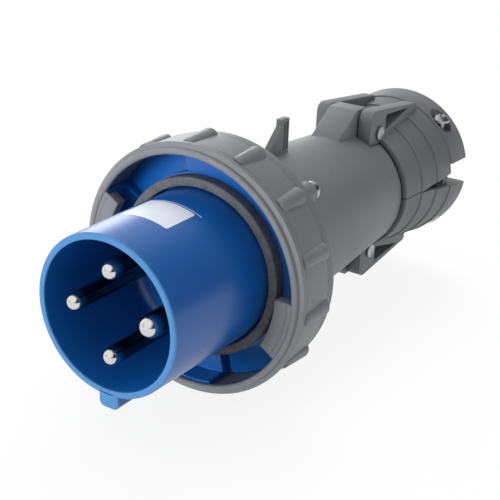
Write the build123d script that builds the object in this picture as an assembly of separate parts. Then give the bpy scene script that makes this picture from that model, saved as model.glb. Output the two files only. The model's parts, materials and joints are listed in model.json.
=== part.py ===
from build123d import *
from math import radians, sin, tan
import os

# All sizes are in millimetres. While it is modelled, the plug's axis is Y, y = 0 is the rim of the
# sleeve, +Z is up and angles are counted from +X, anticlockwise as seen from the pins' end.

# How far a cutting shape runs past the face that it opens
overshoot = 1.0

# Front moulding: sleeve, contact floor and cup in one piece
sleeve_r = 35.5
sleeve_wall = 3.0
sleeve_bore_r = sleeve_r - sleeve_wall
sleeve_draft = 0.8
sleeve_root_r = sleeve_r + sleeve_draft
rim_chamfer = 0.7
contact_floor_y = 58.0
contact_floor_thickness = 6.0
contact_floor_back_y = contact_floor_y + contact_floor_thickness
cup_floor_set_back = 4.5
cup_floor_y = contact_floor_back_y + cup_floor_set_back
cup_depth = 11.0
cup_front_y = cup_floor_y - cup_depth
cup_base = 10.5
joint_y = cup_floor_y + cup_base

# Face gasket round the sleeve's root
gasket_gap = 1.0
gasket_bore_r = sleeve_root_r + gasket_gap
gasket_width = 4.3
gasket_r = gasket_bore_r + gasket_width
gasket_height = 6.0
gasket_front_y = cup_floor_y - gasket_height
gasket_chamfer = 0.8

# Pockets and slots in the cup's floor
recess_depth = 4.0
recess_wall = 0.8
recess_inner_r = gasket_r + recess_wall
recess_width = 9.9
recess_ledge = 0.4
recess_angles = (103.0, 283.0)
recess_span = 45.0
slot_width = 2.0
slot_depth = 2.0
slot_set_back = 3.0
slot_reach = 1.0
cup_bore_r = recess_inner_r + recess_width
cup_wall = 1.9
cup_r = cup_bore_r + cup_wall
shoulder_height = 0.8
shoulder_r = cup_r + shoulder_height
shoulder_set_back = 2.5
shoulder_front_y = cup_floor_y - shoulder_set_back
shoulder_length = 5.5
shoulder_back_y = shoulder_front_y + shoulder_length

# Key rib under the sleeve
key_width = 10.0
key_centre_x = 1.5
key_height = 5.5
key_reach = sleeve_r + key_height
key_corner_r = 2.6
key_root = 1.8
key_gap_to_gasket = 0.8

# Contacts
pin_inset = 13.35
pin_orbit = sleeve_bore_r - pin_inset
phase_pin_r = 4.0
earth_pin_r = 5.0
phase_pin_angles = {"left": 180.0, "top": 90.0, "bottom": 270.0}
earth_pin_angle = 0.0
pin_tip_y = 0.6
pin_hole_clearance = 0.15
root_extra_r = 0.5
collar_extra_r = 1.5
collar_length = 3.0
terminal_extra_r = 1.2
terminal_length = 18.0
wire_bore_r = 2.9
wire_bore_depth = 14.0
terminal_screw_tip = 0.8
terminal_head_gap = 0.2
terminal_head_r = 2.9
terminal_head_height = 1.8

# Contact carrier and terminal divider
carrier_ledge = 1.5
carrier_bore_r = sleeve_bore_r - carrier_ledge
carrier_clearance = 0.3
carrier_length = 22.0
divider_plate = 3.0
divider_wall = 1.8
divider_r = carrier_bore_r - carrier_ledge
divider_hub_r = 6.0
divider_seat = 0.3
carrier_screw_bite = 3.5

# Locking ring
ring_overhang = 2.8
ring_front_y = cup_front_y - ring_overhang
ring_back_gap = 0.5
ring_back_y = joint_y - ring_back_gap
ring_clearance = 0.4
ring_axial_clearance = 0.3
ring_land_r = cup_r + ring_clearance
ring_groove_r = shoulder_r + ring_clearance
ring_wall = 2.5
ring_r = ring_groove_r + ring_wall
lip_reach = 1.0
ring_lip_r = cup_r - lip_reach
ring_bead_length = 2.6
lip_thickness = 2.5
lip_round = 1.2
lip_inset = 1.8
lip_outer_r = ring_r - lip_inset
lip_step = 0.6
ring_back_chamfer = 0.6
bead_height = 0.5
bead_r = ring_r + bead_height
bead_set_back = 2.3
bead_front_y = ring_front_y + bead_set_back
bead_length = 3.2
bead_back_y = bead_front_y + bead_length
lug_angles = (-31.0, 149.0)
lug_span = 31.0
lug_gap_to_gasket = 3.4
lug_inner_r = gasket_r + lug_gap_to_gasket
lug_length = 6.3
lug_back_y = ring_front_y + lug_length
lug_set_back = 0.6
lug_root = 0.5
ring_travel = 45.0
stop_angle = 270.0
stop_span = 4.0
stop_slack = 0.5
stop_length = 2.6
stop_set_back = 1.2
stop_root = 0.2
grip_count = 14
grip_first_angle = 94.8
grip_inset = 1.2
grip_orbit = ring_r - grip_inset
grip_back_r = 3.7
grip_front_r = 0.9
grip_set_back = 3.8
grip_front_y = ring_front_y + grip_set_back
grip_depth = 1.6
grip_root_r = ring_r - grip_depth

# Rear housing
flange_overhang = 2.8
flange_r = cup_r + flange_overhang
flange_thickness = 6.5
flange_back_y = joint_y + flange_thickness
flange_chamfer = 1.0
barrel_step = 17.8
barrel_front_r = flange_r - barrel_step
shoulder_start_inset = 8.0
shoulder_start_r = flange_r - shoulder_start_inset
shoulder_middle_rise = 4.8
shoulder_middle_r = barrel_front_r + shoulder_middle_rise
shoulder_middle_length = 4.0
shoulder_middle_y = flange_back_y + shoulder_middle_length
shoulder_end_rise = 1.0
shoulder_end_r = barrel_front_r + shoulder_end_rise
shoulder_end_length = 11.5
shoulder_end_y = flange_back_y + shoulder_end_length
barrel_set_back = 14.5
barrel_front_y = flange_back_y + barrel_set_back
barrel_length = 101.0
barrel_back_y = barrel_front_y + barrel_length
barrel_wall = 4.0
mouth_wall = 4.7
housing_mouth_r = barrel_front_r - mouth_wall

# Cable grommet, its washer and the neck round them
grommet_bore_r = 14.0
grommet_wall = 10.0
grommet_r = grommet_bore_r + grommet_wall
grommet_seat_depth = 3.0
grommet_front_y = barrel_back_y - grommet_seat_depth
neck_length = 12.0
neck_back_y = barrel_back_y + neck_length
grommet_nose_length = 12.0
grommet_nose_y = neck_back_y + grommet_nose_length
grommet_nose_wall = 5.0
grommet_nose_r = grommet_bore_r + grommet_nose_wall
grommet_rim = 1.5
shelf_width = 4.5
shelf_r = grommet_r - shelf_width
shelf_thickness = 3.0
washer_thickness = 1.6
washer_gap = 1.0
washer_bore_r = grommet_bore_r + washer_gap
neck_wall = 4.0
neck_r = grommet_r + neck_wall
rim_step = 4.6
barrel_back_r = neck_r + rim_step

# Body seal between the two housings
seal_inset = 5.5
seal_orbit = housing_mouth_r + seal_inset
seal_section_r = 1.0
seal_groove_side = 0.2

# Assembly screws in the flange's ears
ear_angles = (44.0, 134.0, 224.0, 314.0)
ear_inset = 6.5
ear_orbit = flange_r - ear_inset
ear_r = 7.6
ear_length = 12.5
ear_back_y = flange_back_y + ear_length
screw_shank_r = 1.9
screw_hole_clearance = 0.35
screw_thread_clearance = 0.05
screw_bite = 4.0
screw_tip_y = joint_y - screw_bite
screw_head_r = 4.0
screw_head_height = 3.0
blind_hole_extra = 0.6

# Lid-hook fin on top of the rear housing
fin_thickness = 3.4
fin_web = 1.4
fin_offset = 16.5
fin_foot_y = barrel_front_y + fin_offset
fin_slope_length = 10.8
fin_front_y = fin_foot_y + fin_slope_length
fin_length = 6.5
fin_back_y = fin_front_y + fin_length
fin_height = 14.5
fin_top_z = barrel_front_r + fin_height
fin_post = 3.4
fin_shoulder_z = fin_top_z - fin_post
fin_rim = 1.1
fin_groove = 1.2
fin_sink = 2.0
fin_foot_height = 1.8
fin_chamfer = 0.4

# Hinges of the clamp jaws
hinge_set_back = 0.5
hinge_y = barrel_back_y + hinge_set_back
hinge_rise = 0.6
hinge_z = barrel_back_r + hinge_rise
hinge_pin_r = 2.75
hinge_fit = 0.06
hinge_seat_fit = 0.02
hinge_head_r = 3.75
hinge_head_thickness = 1.0
lug_half_width = 8.8
hinge_lug_length = 30.0
lug_foot_y = hinge_y - hinge_lug_length
lug_rise = 13.0
lug_top_z = hinge_z + lug_rise
lug_top_length = 8.8
lug_top_front_y = hinge_y - lug_top_length
lug_end_length = 8.0
hinge_lug_back_y = hinge_y + lug_end_length
lug_root_depth = 3.0
lug_root_z = neck_r - lug_root_depth
lug_sink = 1.5
lug_slope = 6.5
arm_gap = 0.3
arm_thickness = 7.2
arm_inner_x = lug_half_width + arm_gap
arm_outer_x = arm_inner_x + arm_thickness
arm_front_length = 7.0
arm_front_y = hinge_y - arm_front_length
arm_tip_drop = 7.8
arm_tip_z = hinge_z - arm_tip_drop
arm_drop = 4.6
arm_under_z = hinge_z - arm_drop
arm_rise = 13.4
arm_top_z = hinge_z + arm_rise
arm_corner = 4.0
arm_chamfer = 1.6
arm_rail = 5.0
arm_pocket_depth = 5.0
notch_gap = 1.2
hinge_opening_depth = 9.0
hinge_opening_z = neck_r - hinge_opening_depth
cavity_set_back = 3.5
cavity_back_y = arm_front_y - notch_gap - cavity_set_back

# Clamp jaws
jaw_set_back = 2.3
jaw_front_y = barrel_back_y + jaw_set_back
jaw_band_lengths = (16.0, 15.0, 14.5, 19.2)
jaw_step_ys = tuple(jaw_front_y + sum(jaw_band_lengths[:count]) for count in (1, 2, 3))
jaw_back_y = jaw_front_y + sum(jaw_band_lengths)
jaw_overlap = 1.9
jaw_front_r = barrel_back_r + jaw_overlap
jaw_flare = 0.9
jaw_step = 1.2
jaw_wall = 2.7
jaw_cavity_set_back = 8.0
jaw_cavity_reach = 2.0
jaw_cavity_ys = (jaw_step_ys[0] - jaw_cavity_set_back, jaw_step_ys[1] + jaw_cavity_reach)
saddle_length = 25.0
jaw_saddle_front_y = jaw_back_y - saddle_length
saddle_gap = 3.0
saddle_r = grommet_bore_r + saddle_gap
saddle_chamfer = 2.0
saddle_tooth = 1.2
saddle_pitch = 4.0
jaw_rear_round = 3.2
jaw_land_gap = 0.5
jaw_wedge_angle = 6.5
ear_cut_z = 9.0
arm_back_offset = 11.5
arm_back_y = jaw_step_ys[1] + arm_back_offset
arm_back_rise = 5.9
arm_back_z = jaw_front_r + arm_back_rise
arm_root_rise = 0.7
arm_root_z = jaw_front_r + arm_root_rise
arm_pocket_set_back = 7.0
arm_pocket_front_y = hinge_y + arm_pocket_set_back
arm_pocket_reach = 1.0
arm_pocket_back_y = jaw_step_ys[1] + arm_pocket_reach

# Clamp screws and their square nuts
clamp_inset = 10.0
clamp_x = saddle_r + clamp_inset
clamp_set_in = 12.0
clamp_y = jaw_back_y - clamp_set_in
clamp_shank_r = 2.5
clamp_head_r = 4.9
clamp_head_height = 3.6
clamp_head_round = 2.2
clamp_seat_depth = 7.0
clamp_seat_z = saddle_r + clamp_seat_depth
clamp_slack = 5.5
clamp_head_under_z = clamp_seat_z + clamp_slack
clamp_recess_r = 6.2
clamp_hole_clearance = 0.4
clamp_swing_front = 2.0
clamp_swing_back = 3.2
nut_width = 8.0
nut_height = 4.0
nut_play = 0.2
nut_top_z = -(clamp_seat_z + nut_play)
nut_side_clearance = 0.3
nut_front_clearance = 1.2
nut_travel = 6.2
nut_thread_clearance = 0.05
clamp_tip_length = 6.8
clamp_tip_z = nut_top_z - clamp_tip_length

# Lugs on the lower jaw's edges, under the clamp screws' ears
tab_offset = 6.0
tab_x = clamp_x + tab_offset
tab_height = 5.5
tab_thickness = 3.2
tab_root = 2.0

# Bare label on the sleeve
label_angle = 89.3
label_span = 39.5
label_front_y = 24.5
label_length = 18.7
label_thickness = 0.25
label_corner_r = 2.5

# A distance from the axis that lies outside the whole plug
beyond = ring_r + grip_back_r


def turn(angle):
    """Turns a shape that was made at +X to an angle about the plug's axis."""
    return Rot(0, -angle, 0)


def on_orbit(orbit, angle):
    return turn(angle) * Pos(orbit, 0, 0)


def turned(points):
    """Full revolve about Y of a closed outline of (radius, y) points."""
    return revolve(make_face(Polyline(*points, close=True)), Axis.Y)


def sector(inner_r, outer_r, y0, y1, angle, span):
    """Part of a ring with a square section, from angle to angle + span."""
    section = make_face(Polyline((inner_r, y0), (outer_r, y0), (outer_r, y1), (inner_r, y1), close=True))
    return turn(angle) * revolve(section, Axis((0, 0, 0), (0, -1, 0)), span)


def rod(radius, y0, y1, back_r=None):
    """Cylinder or cone along Y."""
    if back_r is None:
        blank = Cylinder(radius, y1 - y0, align=(Align.CENTER, Align.CENTER, Align.MIN))
    else:
        blank = Cone(radius, back_r, y1 - y0, align=(Align.CENTER, Align.CENTER, Align.MIN))
    return Pos(0, y0, 0) * Rot(-90, 0, 0) * blank


def upright(radius, z0, z1):
    return Pos(0, 0, z0) * Cylinder(radius, z1 - z0, align=(Align.CENTER, Align.CENTER, Align.MIN))


def cross_rod(radius, x0, x1):
    """Cylinder along X through the upper hinge."""
    blank = Cylinder(radius, x1 - x0, align=(Align.CENTER, Align.CENTER, Align.MIN))
    return Pos(x0, hinge_y, hinge_z) * Rot(0, 90, 0) * blank


def side_plate(points, x0, x1):
    """Outline of (y, z) points, extruded from x0 to x1."""
    outline = make_face(Polyline(*[(x0, y, z) for y, z in points], close=True))
    return extrude(outline, amount=x1 - x0, dir=(1, 0, 0))


def block(x0, x1, y0, y1, z0, z1):
    return Pos(x0, y0, z0) * Box(x1 - x0, y1 - y0, z1 - z0, align=(Align.MIN, Align.MIN, Align.MIN))


def both_sides(shape):
    return shape + mirror(shape, about=Plane.YZ)


def upside_down(shape):
    return mirror(shape, about=Plane.XY)


def sleeve_radius(y):
    return sleeve_r + (sleeve_root_r - sleeve_r) * y / cup_floor_y


def barrel_radius(y):
    share = (y - barrel_front_y) / (barrel_back_y - barrel_front_y)
    return barrel_front_r + (barrel_back_r - barrel_front_r) * share


pin_radii = {name: phase_pin_r for name in phase_pin_angles}
pin_radii["earth"] = earth_pin_r
root_radii = {name: radius + root_extra_r for name, radius in pin_radii.items()}
pin_angles = dict(phase_pin_angles, earth=earth_pin_angle)
carrier_front_y = contact_floor_back_y
carrier_screw_tip_y = contact_floor_back_y - carrier_screw_bite
carrier_back_y = carrier_front_y + carrier_length
divider_front_y = carrier_back_y + divider_seat
divider_back_y = divider_front_y + divider_plate
terminal_back_y = divider_back_y + divider_seat + terminal_length
nut_pocket_top_z = nut_top_z + nut_travel


def make_front_housing():
    outline = [
        (sleeve_bore_r, contact_floor_y),
        (sleeve_bore_r, rim_chamfer),
        (sleeve_bore_r + rim_chamfer, 0),
        (sleeve_r - rim_chamfer, 0),
        (sleeve_r, rim_chamfer),
        (sleeve_root_r, cup_floor_y),
        (cup_bore_r, cup_floor_y),
        (cup_bore_r, cup_front_y),
        (cup_r, cup_front_y),
        (cup_r, shoulder_front_y),
        (shoulder_r, shoulder_front_y),
        (shoulder_r, shoulder_back_y),
        (cup_r, shoulder_back_y),
        (cup_r, joint_y),
        (carrier_bore_r, joint_y),
        (carrier_bore_r, contact_floor_back_y),
        (0, contact_floor_back_y),
        (0, contact_floor_y),
    ]
    housing = turned(outline)
    key_y1 = gasket_front_y - key_gap_to_gasket
    key_top = sleeve_r - key_root
    key = Pos(key_centre_x, 0, -(key_top + key_reach) / 2) * Box(
        key_width, key_y1, key_reach - key_top, align=(Align.CENTER, Align.MIN, Align.CENTER))
    key = fillet(key.edges().filter_by(Axis.Y).group_by(Axis.Z)[0], key_corner_r)
    housing += key
    housing += sector(cup_r - stop_root, ring_groove_r - ring_axial_clearance, ring_stop_y0, ring_stop_y1,
                      stop_angle - stop_span / 2, stop_span)
    for angle in recess_angles:
        recess_floor_y = cup_floor_y + recess_depth
        housing -= sector(recess_inner_r, cup_bore_r - recess_ledge, cup_floor_y - overshoot, recess_floor_y,
                          angle, recess_span)
        slot = block(recess_inner_r, cup_bore_r + slot_reach, cup_front_y + slot_set_back,
                     recess_floor_y + slot_depth, 0, slot_width)
        housing -= turn(angle) * slot
    for name, angle in pin_angles.items():
        hole = rod(root_radii[name] + pin_hole_clearance, contact_floor_y - overshoot,
                   contact_floor_back_y + overshoot)
        housing -= on_orbit(pin_orbit, angle) * hole
    housing -= rod(screw_shank_r + screw_thread_clearance, carrier_screw_tip_y - blind_hole_extra,
                   contact_floor_back_y + overshoot)
    for angle in ear_angles:
        hole = rod(screw_shank_r + screw_thread_clearance, screw_tip_y - blind_hole_extra,
                   joint_y + overshoot)
        housing -= on_orbit(ear_orbit, angle) * hole
    groove_half = seal_section_r + seal_groove_side
    housing -= turned([
        (seal_orbit - groove_half, joint_y - 2 * seal_section_r),
        (seal_orbit + groove_half, joint_y - 2 * seal_section_r),
        (seal_orbit + groove_half, joint_y + overshoot),
        (seal_orbit - groove_half, joint_y + overshoot),
    ])
    return housing


def make_face_gasket():
    return turned([
        (gasket_bore_r, gasket_front_y + gasket_chamfer),
        (gasket_bore_r + gasket_chamfer, gasket_front_y),
        (gasket_r - gasket_chamfer, gasket_front_y),
        (gasket_r, gasket_front_y + gasket_chamfer),
        (gasket_r, cup_floor_y),
        (gasket_bore_r, cup_floor_y),
    ])


ring_land_end_y = shoulder_front_y - ring_axial_clearance
ring_bead_start_y = shoulder_back_y + ring_axial_clearance
ring_bead_end_y = ring_bead_start_y + ring_bead_length
ring_stop_y0 = ring_bead_end_y + stop_set_back
ring_stop_y1 = ring_stop_y0 + stop_length
ring_lip_back_y = ring_front_y + lip_thickness


def make_locking_ring():
    lip_middle_r = (ring_lip_r + lip_outer_r) / 2
    lip_edge_y = ring_front_y + lip_round
    lip = ThreePointArc((ring_lip_r, lip_edge_y), (lip_middle_r, ring_front_y), (lip_outer_r, lip_edge_y))
    bead_start_r = lip_outer_r + lip_step
    bead_middle_y = (bead_front_y + bead_back_y) / 2
    bead = ThreePointArc((bead_start_r, bead_front_y), (bead_r, bead_middle_y), (ring_r, bead_back_y))
    back = Polyline(
        (ring_r, bead_back_y),
        (ring_r, ring_back_y - ring_back_chamfer),
        (ring_r - ring_back_chamfer, ring_back_y),
        (ring_groove_r, ring_back_y),
        (ring_groove_r, ring_bead_end_y + (ring_groove_r - ring_land_r)),
        (ring_land_r, ring_bead_end_y),
        (ring_land_r, ring_bead_start_y),
        (ring_groove_r, ring_bead_start_y),
        (ring_groove_r, ring_land_end_y),
        (ring_land_r, ring_land_end_y),
        (ring_land_r, ring_lip_back_y),
        (ring_lip_r, ring_lip_back_y),
        (ring_lip_r, lip_edge_y),
    )
    groove = Line((lip_outer_r, lip_edge_y), (bead_start_r, bead_front_y))
    ring = revolve(make_face([lip, groove, bead, back]), Axis.Y)
    ring_bore = rod(grip_root_r, grip_front_y - overshoot, ring_back_y + overshoot)
    grip = Pos(grip_orbit, 0, 0) * rod(grip_front_r, grip_front_y, ring_back_y, grip_back_r) - ring_bore
    for index in range(grip_count):
        ring += turn(grip_first_angle + index * 360 / grip_count) * grip
    lug_front_y = ring_front_y + lug_set_back
    for angle in lug_angles:
        ring += sector(lug_inner_r, ring_lip_r + lug_root, lug_front_y, ring_lip_back_y, angle, lug_span)
        ring += sector(lug_inner_r, cup_bore_r - ring_clearance, lug_front_y, lug_back_y, angle, lug_span)
    stop_reach = stop_span / 2 + stop_slack
    for start in (stop_angle + stop_reach + ring_travel, stop_angle - stop_reach - stop_span):
        ring += sector(ring_land_r, ring_groove_r + stop_root, ring_stop_y0, ring_stop_y1, start, stop_span)
    return ring


def make_contact_carrier():
    carrier = rod(carrier_bore_r - carrier_clearance, carrier_front_y, carrier_back_y)
    for name, angle in pin_angles.items():
        hole_r = root_radii[name] + pin_hole_clearance
        hole = rod(hole_r, carrier_front_y - overshoot, carrier_back_y + overshoot)
        seat_r = pin_radii[name] + collar_extra_r + pin_hole_clearance
        seat_back_y = carrier_front_y + collar_length + pin_hole_clearance
        hole += rod(seat_r, carrier_front_y - overshoot, seat_back_y)
        carrier -= on_orbit(pin_orbit, angle) * hole
    screw_hole_r = screw_shank_r + screw_hole_clearance
    return carrier - rod(screw_hole_r, carrier_front_y - overshoot, carrier_back_y + overshoot)


def make_terminal_divider():
    divider = rod(divider_r, divider_front_y, divider_back_y)
    wall = block(-divider_r, divider_r, divider_back_y, terminal_back_y, -divider_wall / 2, divider_wall / 2)
    divider += turn(45) * wall + turn(135) * wall
    divider -= rod(divider_hub_r, divider_back_y, terminal_back_y + overshoot)
    hole_y0 = divider_front_y - overshoot
    hole_y1 = divider_back_y + overshoot
    for name, angle in pin_angles.items():
        divider -= on_orbit(pin_orbit, angle) * rod(root_radii[name] + pin_hole_clearance, hole_y0, hole_y1)
    return divider - rod(screw_shank_r + screw_hole_clearance, hole_y0, hole_y1)


def make_contact_pin(name):
    """Round-nosed pin with a thicker root from the floor on, a collar and a bored terminal at its back."""
    radius = pin_radii[name]
    root_r = root_radii[name]
    collar_r = radius + collar_extra_r
    terminal_r = radius + terminal_extra_r
    terminal_front_y = divider_back_y + divider_seat
    nose_r = radius * sin(radians(45))
    nose = ThreePointArc((0, pin_tip_y), (nose_r, pin_tip_y + radius - nose_r), (radius, pin_tip_y + radius))
    body = Polyline(
        (radius, pin_tip_y + radius),
        (radius, contact_floor_y),
        (root_r, contact_floor_y),
        (root_r, carrier_front_y),
        (collar_r, carrier_front_y),
        (collar_r, carrier_front_y + collar_length),
        (root_r, carrier_front_y + collar_length),
        (root_r, terminal_front_y),
        (terminal_r, terminal_front_y),
        (terminal_r, terminal_back_y),
        (wire_bore_r, terminal_back_y),
        (wire_bore_r, terminal_back_y - wire_bore_depth),
        (0, terminal_back_y - wire_bore_depth),
        (0, pin_tip_y),
    )
    pin = revolve(make_face([nose, body]), Axis.Y)
    pin -= terminal_screw_axis() * upright(screw_shank_r + screw_thread_clearance, 0, terminal_r + overshoot)
    return on_orbit(pin_orbit, pin_angles[name]) * pin


def terminal_screw_axis():
    """Place of the clamping screw, square to the pin and pointing away from the plug's axis."""
    return Pos(0, terminal_back_y - wire_bore_depth / 2, 0) * Rot(0, 90, 0)


def make_terminal_screws():
    screws = []
    for name, angle in pin_angles.items():
        terminal_r = pin_radii[name] + terminal_extra_r
        head_z = terminal_r + terminal_head_gap
        screw = upright(screw_shank_r, terminal_screw_tip, head_z)
        screw += upright(terminal_head_r, head_z, head_z + terminal_head_height)
        screws.append(on_orbit(pin_orbit, angle) * terminal_screw_axis() * screw)
    return Compound(children=screws)


def make_carrier_screw():
    screw = rod(screw_shank_r, carrier_screw_tip_y, divider_back_y)
    screw += rod(screw_head_r, divider_back_y, divider_back_y + screw_head_height)
    return screw


def make_body_seal():
    return Pos(0, joint_y - seal_section_r, 0) * Rot(90, 0, 0) * Torus(seal_orbit, seal_section_r)


def make_hinge_lug():
    lug = side_plate([
        (lug_foot_y, lug_root_z),
        (lug_foot_y, barrel_radius(lug_foot_y) - lug_sink),
        (lug_top_front_y, lug_top_z),
        (hinge_y, lug_top_z),
        (hinge_y + lug_slope, lug_top_z - lug_slope),
        (hinge_lug_back_y, lug_root_z),
    ], -lug_half_width, lug_half_width)
    return lug + cross_rod(hinge_lug_back_y - hinge_y, -lug_half_width, lug_half_width)


def make_hinge_notches():
    """Room for the arms' front ends in the barrel's rear rim."""
    notch = block(lug_half_width, arm_outer_x + notch_gap, arm_front_y - notch_gap, barrel_back_y + overshoot,
                  arm_tip_z - notch_gap, arm_top_z)
    return both_sides(notch)


def make_fin():
    half = fin_thickness / 2
    root_z = barrel_radius(fin_back_y) - fin_sink
    foot_z = barrel_radius(fin_foot_y) + fin_foot_height
    fin = side_plate([
        (fin_foot_y, root_z),
        (fin_foot_y, foot_z),
        (fin_front_y, fin_shoulder_z),
        (fin_front_y, fin_top_z - fin_chamfer),
        (fin_front_y + fin_chamfer, fin_top_z),
        (fin_back_y - fin_chamfer, fin_top_z),
        (fin_back_y, fin_top_z - fin_chamfer),
        (fin_back_y, root_z),
    ], -half, half)
    web_half = fin_web / 2
    slope = (fin_shoulder_z - foot_z) / (fin_front_y - fin_foot_y)
    floor_z = barrel_radius(fin_front_y) + fin_rim
    rib_y = fin_back_y - fin_rim - fin_groove
    pocket_back_y = rib_y - fin_rim
    pocket_top_z = foot_z + slope * (pocket_back_y - fin_foot_y) - 2 * fin_rim
    pocket_front_y = fin_foot_y + (floor_z + 2 * fin_rim - foot_z) / slope
    pocket = side_plate([
        (pocket_front_y, floor_z),
        (pocket_back_y, pocket_top_z),
        (pocket_back_y, floor_z),
    ], web_half, half + overshoot)
    groove = block(web_half, half + overshoot, rib_y, rib_y + fin_groove, floor_z, fin_top_z - 2 * fin_rim)
    return fin - both_sides(pocket) - both_sides(groove)


def make_rear_housing():
    shell = turned([
        (0, joint_y),
        (flange_r, joint_y),
        (flange_r, flange_back_y - flange_chamfer),
        (flange_r - flange_chamfer, flange_back_y),
        (shoulder_start_r, flange_back_y),
        (shoulder_middle_r, shoulder_middle_y),
        (shoulder_end_r, shoulder_end_y),
        (barrel_front_r, barrel_front_y),
        (barrel_back_r, barrel_back_y),
        (neck_r, barrel_back_y),
        (neck_r, neck_back_y),
        (0, neck_back_y),
    ])
    for angle in ear_angles:
        shell += on_orbit(ear_orbit, angle) * rod(ear_r, joint_y, ear_back_y)
    shell += make_fin()
    lug = make_hinge_lug()
    shell += lug + upside_down(lug)
    notches = make_hinge_notches()
    shell -= notches + upside_down(notches)
    bores = cross_rod(hinge_pin_r + hinge_seat_fit, -lug_half_width - overshoot, lug_half_width + overshoot)
    shell -= bores + upside_down(bores)
    shelf_back_y = grommet_front_y - washer_thickness
    shell -= turned([
        (0, joint_y - overshoot),
        (housing_mouth_r, joint_y - overshoot),
        (housing_mouth_r, shoulder_end_y),
        (barrel_radius(cavity_back_y) - barrel_wall, cavity_back_y),
        (shelf_r, shelf_back_y - shelf_thickness),
        (shelf_r, shelf_back_y),
        (grommet_r, shelf_back_y),
        (grommet_r, neck_back_y + overshoot),
        (0, neck_back_y + overshoot),
    ])
    screw_hole = rod(screw_shank_r + screw_hole_clearance, joint_y - overshoot, ear_back_y + overshoot)
    for angle in ear_angles:
        shell -= on_orbit(ear_orbit, angle) * screw_hole
    return shell


def make_assembly_screws():
    screws = []
    for angle in ear_angles:
        screw = rod(screw_shank_r, screw_tip_y, ear_back_y)
        screw += rod(screw_head_r, ear_back_y, ear_back_y + screw_head_height)
        screws.append(on_orbit(ear_orbit, angle) * screw)
    return Compound(children=screws)


def make_gland_washer():
    front_y = grommet_front_y - washer_thickness
    return turned([
        (washer_bore_r, front_y),
        (grommet_r, front_y),
        (grommet_r, grommet_front_y),
        (washer_bore_r, grommet_front_y),
    ])


def make_cable_grommet():
    return turned([
        (grommet_bore_r, grommet_front_y),
        (grommet_r, grommet_front_y),
        (grommet_r, neck_back_y),
        (grommet_r - grommet_rim, neck_back_y + grommet_rim),
        (grommet_nose_r, grommet_nose_y),
        (grommet_bore_r, grommet_nose_y),
    ])


def jaw_outline():
    """Closed (radius, y) outline of the pair of jaws, stepped outside and toothed in the saddle."""
    starts = (jaw_front_y,) + jaw_step_ys
    ends = jaw_step_ys + (jaw_back_y - jaw_rear_round,)
    points = []
    radius = jaw_front_r
    for start, end in zip(starts, ends):
        points.append((radius, start))
        points.append((radius + jaw_flare, end))
        radius += jaw_flare + jaw_step
    last_r = points[-1][0]
    points.append((last_r - jaw_rear_round / 3, jaw_back_y - jaw_rear_round / 3))
    points.append((last_r - jaw_rear_round, jaw_back_y))
    points.append((saddle_r + saddle_chamfer, jaw_back_y))
    y = jaw_back_y - saddle_chamfer
    while y - saddle_pitch > jaw_saddle_front_y:
        points.append((saddle_r, y))
        points.append((saddle_r + saddle_tooth, y - saddle_pitch / 2))
        y -= saddle_pitch
    points.append((saddle_r, y))
    points.append((saddle_r, jaw_saddle_front_y))
    cavity_r = jaw_front_r + 2 * (jaw_flare + jaw_step) - jaw_wall
    points.append((cavity_r, jaw_saddle_front_y))
    points.append((cavity_r, jaw_cavity_ys[1]))
    points.append((jaw_front_r - jaw_wall, jaw_cavity_ys[0]))
    points.append((jaw_front_r - jaw_wall, jaw_front_y))
    return points


def above_split():
    """Space that the upper jaw may fill: a flat land in front, then a face that slopes away."""
    land_z = jaw_land_gap / 2
    rise = tan(radians(jaw_wedge_angle))
    land_end_y = jaw_step_ys[0]
    cut_y = jaw_step_ys[2]
    far_y = jaw_back_y + overshoot
    space = side_plate([
        (arm_front_y, land_z),
        (land_end_y, land_z),
        (far_y, land_z + rise * (far_y - land_end_y)),
        (far_y, beyond),
        (arm_front_y, beyond),
    ], -beyond, beyond)
    corner = block(clamp_x + clamp_recess_r, beyond, cut_y, far_y, 0, ear_cut_z)
    return space, both_sides(corner)


def jaw_arm():
    """One arm of the upper jaw, with a pocket in its outer face."""
    arm = side_plate([
        (arm_front_y, arm_tip_z + arm_chamfer),
        (arm_front_y, arm_top_z - 1.5 * arm_corner),
        (arm_front_y + 0.5 * arm_corner, arm_top_z - 0.5 * arm_corner),
        (arm_front_y + 1.5 * arm_corner, arm_top_z),
        (arm_back_y, arm_back_z),
        (arm_back_y, arm_root_z),
        (jaw_step_ys[0], arm_under_z),
        (jaw_front_y, arm_under_z),
        (arm_front_y + arm_chamfer, arm_tip_z),
    ], arm_inner_x, arm_outer_x)
    pocket = side_plate([
        (arm_pocket_front_y, arm_top_z - arm_rail),
        (arm_pocket_back_y, arm_back_z),
        (arm_pocket_front_y, hinge_z),
    ], arm_outer_x - arm_pocket_depth, beyond)
    return arm, pocket


def make_jaw_blank():
    """What the two jaws have in common, as the upper one, and the corner that only the upper one lacks."""
    shell = turned(jaw_outline())
    space, corner = above_split()
    jaw = shell & space
    arm, pocket = jaw_arm()
    jaw += both_sides(arm)
    jaw -= both_sides(pocket)
    jaw -= both_sides(cross_rod(hinge_pin_r + hinge_fit, arm_inner_x - overshoot, arm_outer_x + overshoot))
    jaw -= both_sides(cross_rod(hinge_head_r + arm_gap, arm_outer_x, beyond))
    jaw -= block(-arm_inner_x, arm_inner_x, jaw_front_y - overshoot, hinge_lug_back_y + notch_gap,
                 hinge_opening_z, beyond)
    return jaw, corner


def make_upper_jaw():
    jaw, corner = make_jaw_blank()
    jaw -= corner
    hole = Pos(clamp_x, clamp_y, 0) * (
        upright(clamp_shank_r + clamp_hole_clearance, 0, clamp_seat_z + overshoot)
        + upright(clamp_recess_r, clamp_seat_z, beyond))
    return jaw - both_sides(hole)


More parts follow.
